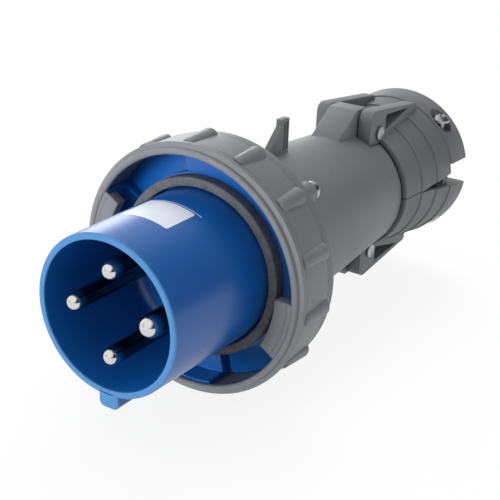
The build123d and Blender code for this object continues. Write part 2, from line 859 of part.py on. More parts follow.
def make_lower_jaw():
    jaw, corner = make_jaw_blank()
    slot_r = clamp_shank_r + clamp_hole_clearance
    slot = Pos(clamp_x, clamp_y, 0) * (
        Pos(0, -clamp_swing_front, 0) * upright(slot_r, 0, beyond)
        + Pos(0, clamp_swing_back, 0) * upright(slot_r, 0, beyond)
        + block(-slot_r, slot_r, -clamp_swing_front, clamp_swing_back, 0, beyond))
    half = nut_width / 2 + nut_side_clearance
    nut_pocket = block(-half, half, -half - nut_front_clearance, half + clamp_swing_back,
                       -nut_pocket_top_z, beyond)
    jaw -= both_sides(slot + Pos(clamp_x, clamp_y, 0) * nut_pocket)
    tab_y0 = clamp_y - clamp_recess_r - tab_thickness
    tab_face_z = jaw_land_gap / 2 + tan(radians(jaw_wedge_angle)) * (tab_y0 - jaw_step_ys[0])
    tab = block(tab_x, tab_x + tab_thickness, tab_y0, tab_y0 + 2 * tab_thickness,
                tab_face_z - tab_height, tab_face_z + tab_root)
    jaw += both_sides(tab)
    return upside_down(jaw)


def make_hinge_pin():
    reach = arm_outer_x + arm_gap
    pin = cross_rod(hinge_pin_r, -reach, reach)
    head = cross_rod(hinge_head_r, reach, reach + hinge_head_thickness)
    return pin + both_sides(head)


def make_clamp_screw():
    screw = upright(clamp_shank_r, clamp_tip_z, clamp_head_under_z)
    head = upright(clamp_head_r, clamp_head_under_z, clamp_head_under_z + clamp_head_height)
    head = fillet(head.edges().group_by(Axis.Z)[-1], clamp_head_round)
    return Pos(clamp_x, clamp_y, 0) * (screw + head)


def make_clamp_nuts():
    nut = Box(nut_width, nut_width, nut_height)
    nut -= Cylinder(clamp_shank_r + nut_thread_clearance, nut_height + overshoot)
    right = Pos(clamp_x, clamp_y, nut_top_z - nut_height / 2) * nut
    left = Pos(-clamp_x, clamp_y, nut_top_z - nut_height / 2) * nut
    return Compound(children=[right, left])


def make_label():
    y0 = label_front_y
    y1 = label_front_y + label_length
    skin = turned([
        (sleeve_radius(y0), y0),
        (sleeve_radius(y0) + label_thickness, y0),
        (sleeve_radius(y1) + label_thickness, y1),
        (sleeve_radius(y1), y1),
    ])
    width = 2 * sleeve_r * sin(radians(label_span / 2))
    cutter = block(0, beyond, y0, y1, -width / 2, width / 2)
    cutter = fillet(cutter.edges().filter_by(Axis.X), label_corner_r)
    return skin & (turn(label_angle) * cutter)


hinge_pin = make_hinge_pin()
clamp_screw = make_clamp_screw()
nodes = {
    "front_housing": make_front_housing(),
    "face_gasket": make_face_gasket(),
    "label": make_label(),
    "locking_ring": make_locking_ring(),
    "earth_pin": make_contact_pin("earth"),
    "contact_carrier": make_contact_carrier(),
    "terminal_divider": make_terminal_divider(),
    "terminal_screws": make_terminal_screws(),
    "carrier_screw": make_carrier_screw(),
    "body_seal": make_body_seal(),
    "rear_housing": make_rear_housing(),
    "assembly_screws": make_assembly_screws(),
    "gland_washer": make_gland_washer(),
    "cable_grommet": make_cable_grommet(),
    "upper_jaw": make_upper_jaw(),
    "lower_jaw": make_lower_jaw(),
    "upper_hinge_pin": hinge_pin,
    "lower_hinge_pin": upside_down(hinge_pin),
    "clamp_screw_right": clamp_screw,
    "clamp_screw_left": mirror(clamp_screw, about=Plane.YZ),
    "clamp_nuts": make_clamp_nuts(),
}
for pin_name in phase_pin_angles:
    nodes["phase_pin_" + pin_name] = make_contact_pin(pin_name)

# The finished plug stands on the surface with its bounding box centred over the origin.
grip_heights = [sin(radians(grip_first_angle + k * 360 / grip_count)) for k in range(grip_count)]
axis_height = grip_orbit * max(grip_heights) + grip_back_r
stand = Pos(0, -jaw_back_y / 2, axis_height)

os.makedirs("parts", exist_ok=True)
for name, shape in nodes.items():
    export_step(stand * shape, "parts/" + name + ".step")
print("axis height", round(axis_height, 3), "length", round(jaw_back_y, 3))
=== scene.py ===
import bpy
import bmesh
import json
from math import cos, hypot, pi, radians, sin, tan
from mathutils import Matrix, Vector


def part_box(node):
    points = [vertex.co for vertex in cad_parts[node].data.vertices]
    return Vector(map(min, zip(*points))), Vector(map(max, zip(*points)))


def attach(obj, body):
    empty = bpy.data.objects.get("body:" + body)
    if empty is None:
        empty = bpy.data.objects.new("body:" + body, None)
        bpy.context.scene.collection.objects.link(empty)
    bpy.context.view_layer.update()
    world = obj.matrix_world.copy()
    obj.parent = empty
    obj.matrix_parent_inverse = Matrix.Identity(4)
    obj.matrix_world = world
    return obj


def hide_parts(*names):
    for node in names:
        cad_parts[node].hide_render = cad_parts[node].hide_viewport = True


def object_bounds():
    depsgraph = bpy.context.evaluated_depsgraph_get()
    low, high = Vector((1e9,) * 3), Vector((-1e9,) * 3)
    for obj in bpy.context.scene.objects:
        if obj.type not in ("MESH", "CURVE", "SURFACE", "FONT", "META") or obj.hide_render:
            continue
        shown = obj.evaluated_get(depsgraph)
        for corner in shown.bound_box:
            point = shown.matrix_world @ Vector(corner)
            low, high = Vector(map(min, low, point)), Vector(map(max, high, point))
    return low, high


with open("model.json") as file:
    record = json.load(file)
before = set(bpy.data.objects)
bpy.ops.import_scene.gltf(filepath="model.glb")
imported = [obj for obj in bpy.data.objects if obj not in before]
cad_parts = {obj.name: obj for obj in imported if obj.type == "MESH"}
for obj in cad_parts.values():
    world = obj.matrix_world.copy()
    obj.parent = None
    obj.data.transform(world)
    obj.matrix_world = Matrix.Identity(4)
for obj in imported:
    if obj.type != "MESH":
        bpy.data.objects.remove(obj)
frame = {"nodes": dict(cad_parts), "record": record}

cadLow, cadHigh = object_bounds()  # the CAD box, before anything is dressed

# Pieces are drawn in millimetres round the plug's own axis: y = 0 is the sleeve's rim, y grows towards the
# cable, z is up. Angles are counted from +X, anticlockwise as seen from the pins' end.
mounts = {mount["name"]: mount for mount in frame["record"]["mounts"]}
axisHeight = mounts["cable_entry"]["pos_m"][2]
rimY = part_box("front_housing")[0].y
toRow = Matrix.Translation((0, rimY, axisHeight)) @ Matrix.Scale(0.001, 4)
roundSegments = 160
rodSegments = 48
cutAngle = 42  # edges sharper than this many degrees are rounded on pieces with curved faces
over = 1  # how far a cutter reaches past what it cuts


# Colour and nodes

def srgb(hexCode):
    channels = [int(hexCode[k:k + 2], 16) / 255 for k in (1, 3, 5)]
    return [c / 12.92 if c <= 0.04045 else ((c + 0.055) / 1.055) ** 2.4 for c in channels] + [1.0]


def feed(tree, node, inputs):
    for key, value in inputs.items():
        if isinstance(value, bpy.types.NodeSocket):
            tree.links.new(value, node.inputs[key])
        else:
            node.inputs[key].default_value = value


def addNode(tree, kind, inputs=None, **settings):
    node = tree.nodes.new(kind)
    for key, value in settings.items():
        setattr(node, key, value)
    feed(tree, node, inputs or {})
    return node


def reckon(tree, operation, *values):
    return addNode(tree, "ShaderNodeMath", dict(enumerate(values)), operation=operation).outputs[0]


def between(tree, value, span, low, high):
    # low where the value is span[0] or less, high where it is span[1] or more
    return addNode(tree, "ShaderNodeMapRange", {"Value": value, "From Min": span[0], "From Max": span[1],
                                                "To Min": low, "To Max": high}).outputs["Result"]


def newMaterial(name):
    material = bpy.data.materials.new(name)
    material.use_nodes = True
    return material, material.node_tree, material.node_tree.nodes["Principled BSDF"]


def perMetre(sizeInMm):
    return 1000 / sizeInMm  # a texture's scale whose features are that many millimetres across


def noiseAt(tree, place, sizeInMm, detail, rough=0.5):
    return addNode(tree, "ShaderNodeTexNoise", {"Vector": place, "Scale": perMetre(sizeInMm), "Detail": detail,
                                                "Roughness": rough}).outputs["Fac"]


def rampOf(tree, value, stops, colours):
    ramp = addNode(tree, "ShaderNodeValToRGB", {"Fac": value})
    for element, stop, colour in zip(ramp.color_ramp.elements, stops, colours):
        element.position = stop
        element.color = srgb(colour)
    return ramp.outputs["Color"]


def reliefOf(tree, height, strength, depthInMm):
    return addNode(tree, "ShaderNodeBump", {"Height": height, "Strength": strength,
                                            "Distance": depthInMm / 1000}).outputs["Normal"]


def alongPlug(tree, place, spanInMm, first, second):
    # one colour near the sleeve's rim and another further along the plug
    depth = addNode(tree, "ShaderNodeSeparateXYZ", {"Vector": place}).outputs["Y"]
    share = between(tree, depth, [rimY + mm / 1000 for mm in spanInMm], 0.0, 1.0)
    return addNode(tree, "ShaderNodeMixRGB", {"Fac": share, "Color1": first, "Color2": second}).outputs[0]


# Moulded and plated finishes

noiseSpan = (0.3, 0.7)  # where most of a noise's values lie


def mouldedPlastic(name, look):
    # Injection-moulded polyamide: an even colour with a spark-eroded grain that breaks up the highlights
    material, tree, shader = newMaterial(name)
    place = addNode(tree, "ShaderNodeTexCoord").outputs["Object"]
    flow = noiseAt(tree, place, look["flowMm"], 3.0)
    grain = noiseAt(tree, place, look["grainMm"], 4.0, 0.6)
    colour = rampOf(tree, flow, (0.3, 0.72), (look["dark"], look["light"]))
    if "paintedRimHighlight" in look:  # the sleeve's rim is coloured paler: a painted highlight along its front edge
        colour = alongPlug(tree, place, look["paintedRimHighlightMm"], srgb(look["paintedRimHighlight"]), colour)
    feed(tree, shader, {"Base Color": colour, "Roughness": between(tree, grain, noiseSpan, *look["gloss"]),
                        "Normal": reliefOf(tree, grain, look["relief"], look["reliefMm"]), "IOR": look["ior"]})
    return material


# matt and even, with a soft sheen along its rounded edges; its real grain is about 0.2 mm and is drawn
# four times as coarse, so that it shows at the photo's size
housingPlastic = mouldedPlastic("grey polyamide housing", {
    "dark": "#5F6265", "light": "#686B6E", "flowMm": 35, "grainMm": 0.8, "gloss": (0.42, 0.58),
    "relief": 0.35, "reliefMm": 0.05, "ior": 1.53})
# a little lighter and smoother than the housing, as a part that hands grip
ringPlastic = mouldedPlastic("grey polyamide ring", {
    "dark": "#626568", "light": "#6C6F72", "flowMm": 35, "grainMm": 0.9, "gloss": (0.4, 0.55),
    "relief": 0.3, "reliefMm": 0.04, "ior": 1.53})
# a little darker, so that the jaws stand off from the barrel
jawPlastic = mouldedPlastic("dark grey polyamide jaws", {
    "dark": "#5B5D61", "light": "#65676B", "flowMm": 30, "grainMm": 0.8, "gloss": (0.45, 0.6),
    "relief": 0.35, "reliefMm": 0.05, "ior": 1.53})
# deep blue and glossier, with broad soft reflections along the sleeve, and a painted highlight that makes its rim
# paler
bluePlastic = mouldedPlastic("blue polyamide sleeve", {
    "dark": "#09458A", "light": "#0F5296", "flowMm": 60, "grainMm": 0.7, "gloss": (0.27, 0.33),
    "relief": 0.06, "reliefMm": 0.03, "ior": 1.53, "paintedRimHighlight": "#32699A", "paintedRimHighlightMm": (0.4, 1.4)})
# the hidden inner mouldings, dark and dull
blackPlastic = mouldedPlastic("black glass-filled polyamide", {
    "dark": "#1B1B1C", "light": "#252526", "flowMm": 20, "grainMm": 0.8, "gloss": (0.45, 0.6),
    "relief": 0.3, "reliefMm": 0.04, "ior": 1.53})
# a smooth pale sheet that stands out from the blue
labelFilm = mouldedPlastic("white polyester label film", {
    "dark": "#C6CED8", "light": "#CFD7E0", "flowMm": 25, "grainMm": 1.5, "gloss": (0.32, 0.4),
    "relief": 0.06, "reliefMm": 0.02, "ior": 1.5})


def foamRubber(name, look):
    # Closed-cell rubber: matt, with pores that show as dark specks where the skin is cut
    material, tree, shader = newMaterial(name)
    place = addNode(tree, "ShaderNodeTexCoord").outputs["Object"]
    cells = addNode(tree, "ShaderNodeTexVoronoi", {"Vector": place, "Scale": perMetre(look["poreMm"])})
    cloud = noiseAt(tree, place, look["poreMm"] * 6, 3.0)
    pores = reckon(tree, "MULTIPLY", cells.outputs["Distance"], cloud)
    feed(tree, shader, {"Base Color": rampOf(tree, pores, (0.05, 0.3), (look["pore"], look["skin"])),
                        "Normal": reliefOf(tree, pores, look["relief"], look["poreMm"] / 4),
                        "Roughness": look["rough"]})
    return material


# dull grey with dark pores, so that it looks cut from a foam sheet
gasketRubber = foamRubber("grey foam rubber gasket", {
    "pore": "#3C3E41", "skin": "#5A5C61", "poreMm": 0.8, "relief": 0.35, "rough": 0.8})
# nearly black, with a faint waxy sheen
sealRubber = foamRubber("black sealing rubber", {
    "pore": "#111111", "skin": "#1D1D1E", "poreMm": 1.4, "relief": 0.25, "rough": 0.62})


def platedMetal(name, look):
    # Turned metal under plating: a mirror-like skin over fine tool marks, hazed here and there
    material, tree, shader = newMaterial(name)
    place = addNode(tree, "ShaderNodeTexCoord").outputs["Object"]
    stretched = addNode(tree, "ShaderNodeMapping", {"Vector": place, "Scale": look["stretch"]}).outputs["Vector"]
    marks = noiseAt(tree, stretched, look["markMm"], 2.0)
    haze = noiseAt(tree, place, look["hazeMm"], 3.0)
    colour = alongPlug(tree, place, look["backColourMm"], srgb(look["colour"]), srgb(look["backColour"]))
    feed(tree, shader, {"Base Color": colour, "Roughness": between(tree, haze, noiseSpan, *look["gloss"]),
                        "Normal": reliefOf(tree, marks, look["relief"], look["reliefMm"]), "Metallic": 1.0})
    return material


# bright noses that mirror the window, and darker shafts behind them, as in the photo
# the shafts' darker colour is painted shade, standing in for the dark socket that they mirror
nickelPlate = platedMetal("nickel-plated brass", {
    "colour": "#D6D4D0", "backColour": "#565557", "backColourMm": (4, 8), "stretch": (1, 8, 1), "markMm": 1.0,
    "hazeMm": 3.0, "gloss": (0.1, 0.18), "relief": 0.04, "reliefMm": 0.02})
# dull silver, with a blurred gleam on the screws' heads and the hinge pins' ends
# its second colour makes it a little darker towards the plug's back
zincPlate = platedMetal("zinc-plated steel", {
    "colour": "#B4B6B9", "backColour": "#A9ABAD", "backColourMm": (90, 250), "stretch": (1, 1, 1), "markMm": 0.8,
    "hazeMm": 2.0, "gloss": (0.25, 0.42), "relief": 0.3, "reliefMm": 0.02})
print("stage: materials")


# Shapes

def roundCorners(corners, steps=4):
    # corners are (radius, y) or (radius, y, rounding); each rounded one becomes a short arc
    points = []
    count = len(corners)
    for index, corner in enumerate(corners):
        here = Vector(corner[:2])
        if len(corner) < 3:
            points.append(here)
            continue
        before = (Vector(corners[index - 1][:2]) - here).normalized()
        after = (Vector(corners[(index + 1) % count][:2]) - here).normalized()
        half = before.angle(after) / 2
        start = here + before * corner[2] / tan(half)
        end = here + after * corner[2] / tan(half)
        centre = here + (before + after).normalized() * corner[2] / sin(half)
        for step in range(steps + 1):
            spoke = (start - centre).slerp(end - centre, step / steps)
            points.append(centre + spoke.normalized() * corner[2])
    return points


def lathed(corners, segments=roundSegments, steps=4, radiusAt=None):
    # turns a closed (radius, y) outline about the plug's axis
    bm = bmesh.new()
    rings = []
    for radius, y in roundCorners(corners, steps):
        if radius < 1e-6:
            rings.append([bm.verts.new((0, y, 0))])
            continue
        ring = []
        for k in range(segments):
            angle = 2 * pi * k / segments
            reach = radiusAt(radius, k) if radiusAt else radius
            ring.append(bm.verts.new((reach * cos(angle), y, reach * sin(angle))))
        rings.append(ring)
    for first, second in zip(rings, rings[1:] + rings[:1]):
        for k in range(segments):
            n = (k + 1) % segments
            around = (first[k % len(first)], first[n % len(first)], second[n % len(second)], second[k % len(second)])
            unique = list(dict.fromkeys(around))
            if len(unique) > 2:
                bm.faces.new(unique)
    bmesh.ops.recalc_face_normals(bm, faces=bm.faces)
    return bm


def sectorBlock(innerR, outerR, y0, y1, angle, span, steps=24):
    # closed solid between two radii, from angle to angle + span
    bm = bmesh.new()
    rows = []
    for k in range(steps + 1):
        a = radians(angle + span * k / steps)
        rows.append([bm.verts.new((r * cos(a), y, r * sin(a)))
                     for r, y in ((innerR, y0), (outerR, y0), (outerR, y1), (innerR, y1))])
    for first, second in zip(rows, rows[1:]):
        for k in range(4):
            bm.faces.new((first[k], first[(k + 1) % 4], second[(k + 1) % 4], second[k]))
    bm.faces.new(rows[0])
    bm.faces.new(list(reversed(rows[-1])))
    bmesh.ops.recalc_face_normals(bm, faces=bm.faces)
    return bm


def boxBlock(low, high, turn=0.0):
    bm = bmesh.new()
    bmesh.ops.create_cube(bm, size=1.0)
    size = Vector(high) - Vector(low)
    middle = (Vector(high) + Vector(low)) / 2
    bmesh.ops.transform(bm, matrix=Matrix.Translation(middle) @ Matrix.Diagonal((*size, 1)), verts=bm.verts)
    bmesh.ops.transform(bm, matrix=Matrix.Rotation(-radians(turn), 4, "Y"), verts=bm.verts)
    return bm


def plate(corners, x0, x1, steps=4):
    # an outline of (y, z) or (y, z, rounding) corners that is as thick as from x0 to x1
    bm = bmesh.new()
    near, far = [[bm.verts.new((x, y, z)) for y, z in roundCorners(corners, steps)] for x in (x0, x1)]
    bm.faces.new(near)
    bm.faces.new(list(reversed(far)))
    for k in range(len(near)):
        bm.faces.new((near[k], near[k - 1], far[k - 1], far[k]))
    bmesh.ops.recalc_face_normals(bm, faces=bm.faces)
    return bm


def turnedRod(radius, start, end, matrix):
    bm = lathed([(0, start), (radius, start), (radius, end), (0, end)], rodSegments)
    bmesh.ops.transform(bm, matrix=matrix, verts=bm.verts)
    return bm


def crossRod(radius, x0, x1, y, z):
    return turnedRod(radius, x0, x1, Matrix.Translation((0, y, z)) @ Matrix.Rotation(radians(-90), 4, "Z"))


def upright(radius, z0, z1, x, y):
    return turnedRod(radius, z0, z1, Matrix.Translation((x, y, 0)) @ Matrix.Rotation(radians(90), 4, "X"))


def ordered(side, inner, outer):
    return sorted((side * inner, side * outer))


def asObject(name, bm):
    mesh = bpy.data.meshes.new(name)
    bm.to_mesh(mesh)
    bm.free()
    piece = bpy.data.objects.new(name, mesh)
    bpy.context.scene.collection.objects.link(piece)
    return piece


def settle(piece):
    # the modifiers' result becomes the piece's own mesh
    graph = bpy.context.evaluated_depsgraph_get()
    mesh = bpy.data.meshes.new_from_object(piece.evaluated_get(graph))
    piece.modifiers.clear()
    piece.data = mesh
    return piece


def cut(piece, other):
    step = piece.modifiers.new("cut", "BOOLEAN")
    step.solver = "EXACT"
    step.operation = "DIFFERENCE"
    step.object = other
    settle(piece)
    bpy.data.objects.remove(other)


def carve(piece, *cutters):
    for bm in cutters:
        cut(piece, asObject("cutter", bm))
    return piece


def soften(piece, width, angle=38, steps=2):
    # short edges left by cuts would hold the rounding back, so they are closed up first
    shortest = 0.05
    bm = bmesh.new()
    bm.from_mesh(piece.data)
    bmesh.ops.remove_doubles(bm, verts=bm.verts, dist=shortest)
    bmesh.ops.dissolve_degenerate(bm, dist=shortest, edges=bm.edges)
    bm.to_mesh(piece.data)
    bm.free()
    step = piece.modifiers.new("soft edges", "BEVEL")
    step.width = width
    step.segments = steps
    step.limit_method = "ANGLE"
    step.angle_limit = radians(angle)
    step.use_clamp_overlap = True
    return settle(piece)


def mirrored(piece, axis):
    piece.data.transform(Matrix.Scale(-1, 4, axis))
    piece.data.flip_normals()
    return piece


def merge(name, pieces):
    bm = bmesh.new()
    for piece in pieces:
        bm.from_mesh(piece.data)
        bpy.data.objects.remove(piece)
    return asObject(name, bm)


def dress(piece, material, body, nodes, smoothAngle=32):
    # into the row frame, smooth between its hard edges, on its body, in place of its CAD nodes
    piece.data.transform(toRow)
    piece.data.materials.clear()
    piece.data.materials.append(material)
    piece.data.polygons.foreach_set("material_index", [0] * len(piece.data.polygons))
    piece.data.shade_smooth()
    piece.data.set_sharp_from_angle(angle=radians(smoothAngle))
    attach(piece, body)
    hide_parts(*nodes)


def refined(node, name, soft):
    # a CAD solid with its triangles merged into faces and its moulded edges rounded
    bm = bmesh.new()
    bm.from_mesh(frame["nodes"][node].data)
    bmesh.ops.transform(bm, matrix=toRow.inverted(), verts=bm.verts)
    bmesh.ops.remove_doubles(bm, verts=bm.verts, dist=0.002)
    bmesh.ops.dissolve_limit(bm, angle_limit=radians(0.6), verts=bm.verts, edges=bm.edges)
    return soften(asObject(name, bm), soft)


# Geometry nodes: pieces on a circle round the plug's axis

def circleTree():
    tree = bpy.data.node_groups.new("pieces on a circle", "GeometryNodeTree")
    sockets = {"Geometry": "Geometry", "Piece": "Object", "Count": "Int", "First Angle": "Float", "Orbit": "Float",
               "Material": "Material"}
    for name, kind in sockets.items():
        tree.interface.new_socket(name, in_out="INPUT", socket_type="NodeSocket" + kind)
    tree.interface.new_socket("Geometry", in_out="OUTPUT", socket_type="NodeSocketGeometry")
    given = addNode(tree, "NodeGroupInput").outputs
    row = addNode(tree, "GeometryNodeMeshLine", {"Count": given["Count"]}).outputs["Mesh"]
    index = addNode(tree, "GeometryNodeInputIndex").outputs["Index"]
    swept = reckon(tree, "MULTIPLY", reckon(tree, "DIVIDE", index, given["Count"]), 2 * pi)
    angle = reckon(tree, "ADD", swept, given["First Angle"])
    x = reckon(tree, "MULTIPLY", reckon(tree, "COSINE", angle), given["Orbit"])
    z = reckon(tree, "MULTIPLY", reckon(tree, "SINE", angle), given["Orbit"])
    spot = addNode(tree, "ShaderNodeCombineXYZ", {"X": x, "Z": z}).outputs[0]
    turned = addNode(tree, "ShaderNodeCombineXYZ", {"Y": reckon(tree, "MULTIPLY", angle, -1.0)}).outputs[0]
    placed = addNode(tree, "GeometryNodeSetPosition", {"Geometry": row, "Position": spot}).outputs["Geometry"]
    source = addNode(tree, "GeometryNodeObjectInfo", {"Object": given["Piece"], "As Instance": True})
    copies = addNode(tree, "GeometryNodeInstanceOnPoints", {
        "Points": placed, "Instance": source.outputs["Geometry"], "Rotation": turned}).outputs["Instances"]
    solid = addNode(tree, "GeometryNodeRealizeInstances", {"Geometry": copies}).outputs["Geometry"]
    painted = addNode(tree, "GeometryNodeSetMaterial", {"Geometry": solid, "Material": given["Material"]})
    addNode(tree, "NodeGroupOutput", {"Geometry": painted.outputs["Geometry"]})
    return tree


circle = circleTree()


def onCircle(name, piece, count, firstAngle, orbit, material):
    holder = asObject(name, bmesh.new())
    step = holder.modifiers.new("pieces on a circle", "NODES")
    step.node_group = circle
    values = {"Piece": piece, "Count": count, "First Angle": radians(firstAngle), "Orbit": float(orbit),
              "Material": material}
    for item in circle.interface.items_tree:
        if item.in_out == "INPUT" and item.name in values:
            step[item.identifier] = values[item.name]
    holder.update_tag()
    settle(holder)
    bpy.data.objects.remove(piece)
    return holder


# Sleeve, contact floor and cup: one blue moulding

sleeve = {
    "rimR": 35.5, "rootR": 36.3, "boreR": 32.5, "floorY": 58, "floorBackY": 64,
    "cupFloorY": 68.5, "cupBoreR": 52.3, "cupR": 54.2, "cupFrontY": 57.5, "jointY": 79,
    "shoulderR": 55, "shoulderY": (66, 71.5), "carrierR": 31,
    "recessR": (42.4, 56), "recessDepth": 4, "recessAngles": (103, 283), "recessSpan": 45,
    "slotWidth": 2, "slotDepth": 2, "slotFrontY": 60.5, "slotOuterR": 53.3,
    "keyX": (-3.5, 6.5), "keyReach": 41, "keyRoot": 33.6, "keyBackY": 61.7, "keyRound": 2.6,
    "floorRound": 5, "edge": 0.35, "keyEdge": 0.5,
}
frontHousing = asObject("sleeve_and_cup", lathed([
    (0, sleeve["floorY"]),
    (sleeve["boreR"], sleeve["floorY"], sleeve["floorRound"]),
    (sleeve["boreR"], 0, 0.55),
    (sleeve["rimR"], 0, 1.0),
    (sleeve["rootR"], sleeve["cupFloorY"], 0.5),
    (sleeve["cupBoreR"], sleeve["cupFloorY"], 0.5),
    (sleeve["cupBoreR"], sleeve["cupFrontY"], 0.6),
    (sleeve["cupR"], sleeve["cupFrontY"], 0.6),
    (sleeve["cupR"], sleeve["shoulderY"][0]),
    (sleeve["shoulderR"], sleeve["shoulderY"][0]),
    (sleeve["shoulderR"], sleeve["shoulderY"][1]),
    (sleeve["cupR"], sleeve["shoulderY"][1]),
    (sleeve["cupR"], sleeve["jointY"]),
    (sleeve["carrierR"], sleeve["jointY"]),
    (sleeve["carrierR"], sleeve["floorBackY"]),
    (0, sleeve["floorBackY"]),
]))
recessFloorY = sleeve["cupFloorY"] + sleeve["recessDepth"]
for angle in sleeve["recessAngles"]:
    carve(frontHousing,
          sectorBlock(*sleeve["recessR"], sleeve["cupFrontY"] - over, recessFloorY, angle, sleeve["recessSpan"]),
          boxBlock((sleeve["recessR"][0], sleeve["slotFrontY"], 0),
                   (sleeve["slotOuterR"], recessFloorY + sleeve["slotDepth"], sleeve["slotWidth"]), angle))
soften(frontHousing, sleeve["edge"], cutAngle)

# the key's two outer edges are rounded more than the rest
key = asObject("key", boxBlock((sleeve["keyX"][0], 0, -sleeve["keyReach"]),
                               (sleeve["keyX"][1], sleeve["keyBackY"], -sleeve["keyRoot"])))
keyEdges = [edge for edge in key.data.edges
            if all(key.data.vertices[v].co.z < -sleeve["keyReach"] + 0.01 for v in edge.vertices)
            and abs(key.data.vertices[edge.vertices[0]].co.x - key.data.vertices[edge.vertices[1]].co.x) < 0.01]
weights = key.data.attributes.new("bevel_weight_edge", "FLOAT", "EDGE")
for edge in keyEdges:
    weights.data[edge.index].value = 1.0
rounding = key.modifiers.new("key corners", "BEVEL")
rounding.limit_method = "WEIGHT"
rounding.width = sleeve["keyRound"]
rounding.segments = 6
settle(key)
soften(key, sleeve["keyEdge"], cutAngle, 3)
frontHousing = merge("sleeve_and_cup", [frontHousing, key])
dress(frontHousing, bluePlastic, "housing", ["front_housing"])
print("stage: sleeve and cup")


# Face gasket

gasket = {"innerR": 37.3, "outerR": 41.6, "frontY": 62.5, "rounding": 0.9}
gasketPiece = asObject("face_gasket_foam", lathed([
    (gasket["innerR"], sleeve["cupFloorY"]),
    (gasket["innerR"], gasket["frontY"], gasket["rounding"]),
    (gasket["outerR"], gasket["frontY"], gasket["rounding"]),
    (gasket["outerR"], sleeve["cupFloorY"]),
]))
dress(gasketPiece, gasketRubber, "housing", ["face_gasket"])


# Locking ring with its grips and lugs

ring = {
    "frontY": 54.7, "backY": 78.5, "wallR": 57.9, "boreR": 54.6, "lipR": (53.2, 56.1), "lipBackY": 57.2,
    "grooveY": 57.0, "grooveR": 56.1, "beadY": (57.6, 59.8), "beadR": 58.4, "beadGroove": 0.35,
    "gripCount": 14, "gripFirst": 94.8, "gripOrbit": 56.7, "gripFrontY": 60.6, "gripR": (2.6, 3.7),
    "gripBroad": 1.2, "gripRootR": 56.4,
    "lugAngles": (-31, 149), "lugSpan": 31, "lugR": (45, 51.9), "lugY": (55.3, 61), "lugRootR": 53.7,
    "lugEdge": 0.6, "lugRootEdge": 0.3,
}
ringPiece = asObject("locking_ring_moulding", lathed([
    (ring["lipR"][0], ring["lipBackY"], 0.3),
    (ring["lipR"][0], ring["frontY"], 1.2),
    (ring["lipR"][1], ring["frontY"], 1.2),
    (ring["grooveR"], ring["grooveY"], 0.25),
    (ring["beadR"], ring["beadY"][0], 0.8),
    (ring["beadR"], ring["beadY"][1], 0.8),
    (ring["wallR"] - ring["beadGroove"], ring["beadY"][1] + 0.6, 0.3),
    (ring["wallR"], ring["beadY"][1] + 1.6, 0.6),
    (ring["wallR"], ring["backY"], 0.9),
    (ring["boreR"], ring["backY"], 0.4),
    (ring["boreR"], ring["lipBackY"]),
]))
grip = asObject("grip", lathed([
    (0, ring["gripFrontY"]),
    (ring["gripR"][0], ring["gripFrontY"], 1.6),
    (ring["gripR"][1], ring["backY"], 1.3),
    (0, ring["backY"]),
], segments=32))
grip.data.transform(Matrix.Scale(ring["gripBroad"], 4, (0, 0, 1)))
grips = onCircle("grips", grip, ring["gripCount"], ring["gripFirst"], ring["gripOrbit"], ringPlastic)
carve(grips, lathed([(0, ring["frontY"]), (ring["gripRootR"], ring["frontY"]),
                     (ring["gripRootR"], ring["backY"] + over), (0, ring["backY"] + over)]))
lugs = []
for angle in ring["lugAngles"]:
    inner = asObject("lug", sectorBlock(*ring["lugR"], *ring["lugY"], angle, ring["lugSpan"]))
    root = asObject("lug root", sectorBlock(ring["lugR"][1] - 1, ring["lugRootR"], ring["lugY"][0], ring["lipBackY"],
                                            angle, ring["lugSpan"]))
    lugs += [soften(inner, ring["lugEdge"], cutAngle, 3), soften(root, ring["lugRootEdge"], cutAngle)]
ringPiece = merge("locking_ring_moulding", [ringPiece, grips] + lugs)
dress(ringPiece, ringPlastic, "locking_ring", ["locking_ring"])
print("stage: gasket and locking ring")


# Contact pins, nose to terminal

contact = {
    "tipY": 0.6, "floorY": 58, "rootExtra": 0.5, "collarExtra": 1.5, "collarY": (64, 67),
    "terminalExtra": 1.2, "terminalY": (89.6, 107.6), "wireBore": (2.9, 14), "orbit": 19.15,
    "pins": {"phase_pin_left": (180, 4), "phase_pin_top": (90, 4), "phase_pin_bottom": (270, 4), "earth_pin": (0, 5)},
}
for node, (angle, radius) in contact["pins"].items():
    root = radius + contact["rootExtra"]
    collar = radius + contact["collarExtra"]
    terminal = radius + contact["terminalExtra"]
    pin = asObject(node + "_turned", lathed([
        (0, contact["tipY"]),
        (radius, contact["tipY"], radius - 0.01),
        (radius, contact["floorY"]),
        (root, contact["floorY"]),
        (root, contact["collarY"][0]),
        (collar, contact["collarY"][0]),
        (collar, contact["collarY"][1]),
        (root, contact["collarY"][1]),
        (root, contact["terminalY"][0]),
        (terminal, contact["terminalY"][0], 0.4),
        (terminal, contact["terminalY"][1], 0.4),
        (contact["wireBore"][0], contact["terminalY"][1], 0.3),
        (contact["wireBore"][0], contact["terminalY"][1] - contact["wireBore"][1]),
        (0, contact["terminalY"][1] - contact["wireBore"][1]),
    ], segments=64, steps=10))
    pin.data.transform(Matrix.Rotation(-radians(angle), 4, "Y") @ Matrix.Translation((contact["orbit"], 0, 0)))
    dress(pin, nickelPlate, "housing", [node])
print("stage: contact pins")


# Label, and a thin pale strip of label film behind it: a painted highlight along the label's back edge

label = {"angle": 89.3, "span": 39.5, "frontY": 24.0, "length": 19.2, "lift": (-0.05, 0.25), "cornerR": 1.0,
         "steps": (48, 32), "smoothAngle": 50}
# a detached pale strip: a painted highlight for the light caught just behind the label's back edge
paintedEdgeHighlight = {"angle": 87.4, "span": 43.3, "frontY": 44.5, "length": 0.35, "lift": (-0.05, 0.08), "cornerR": 0.1,
            "steps": (48, 4)}


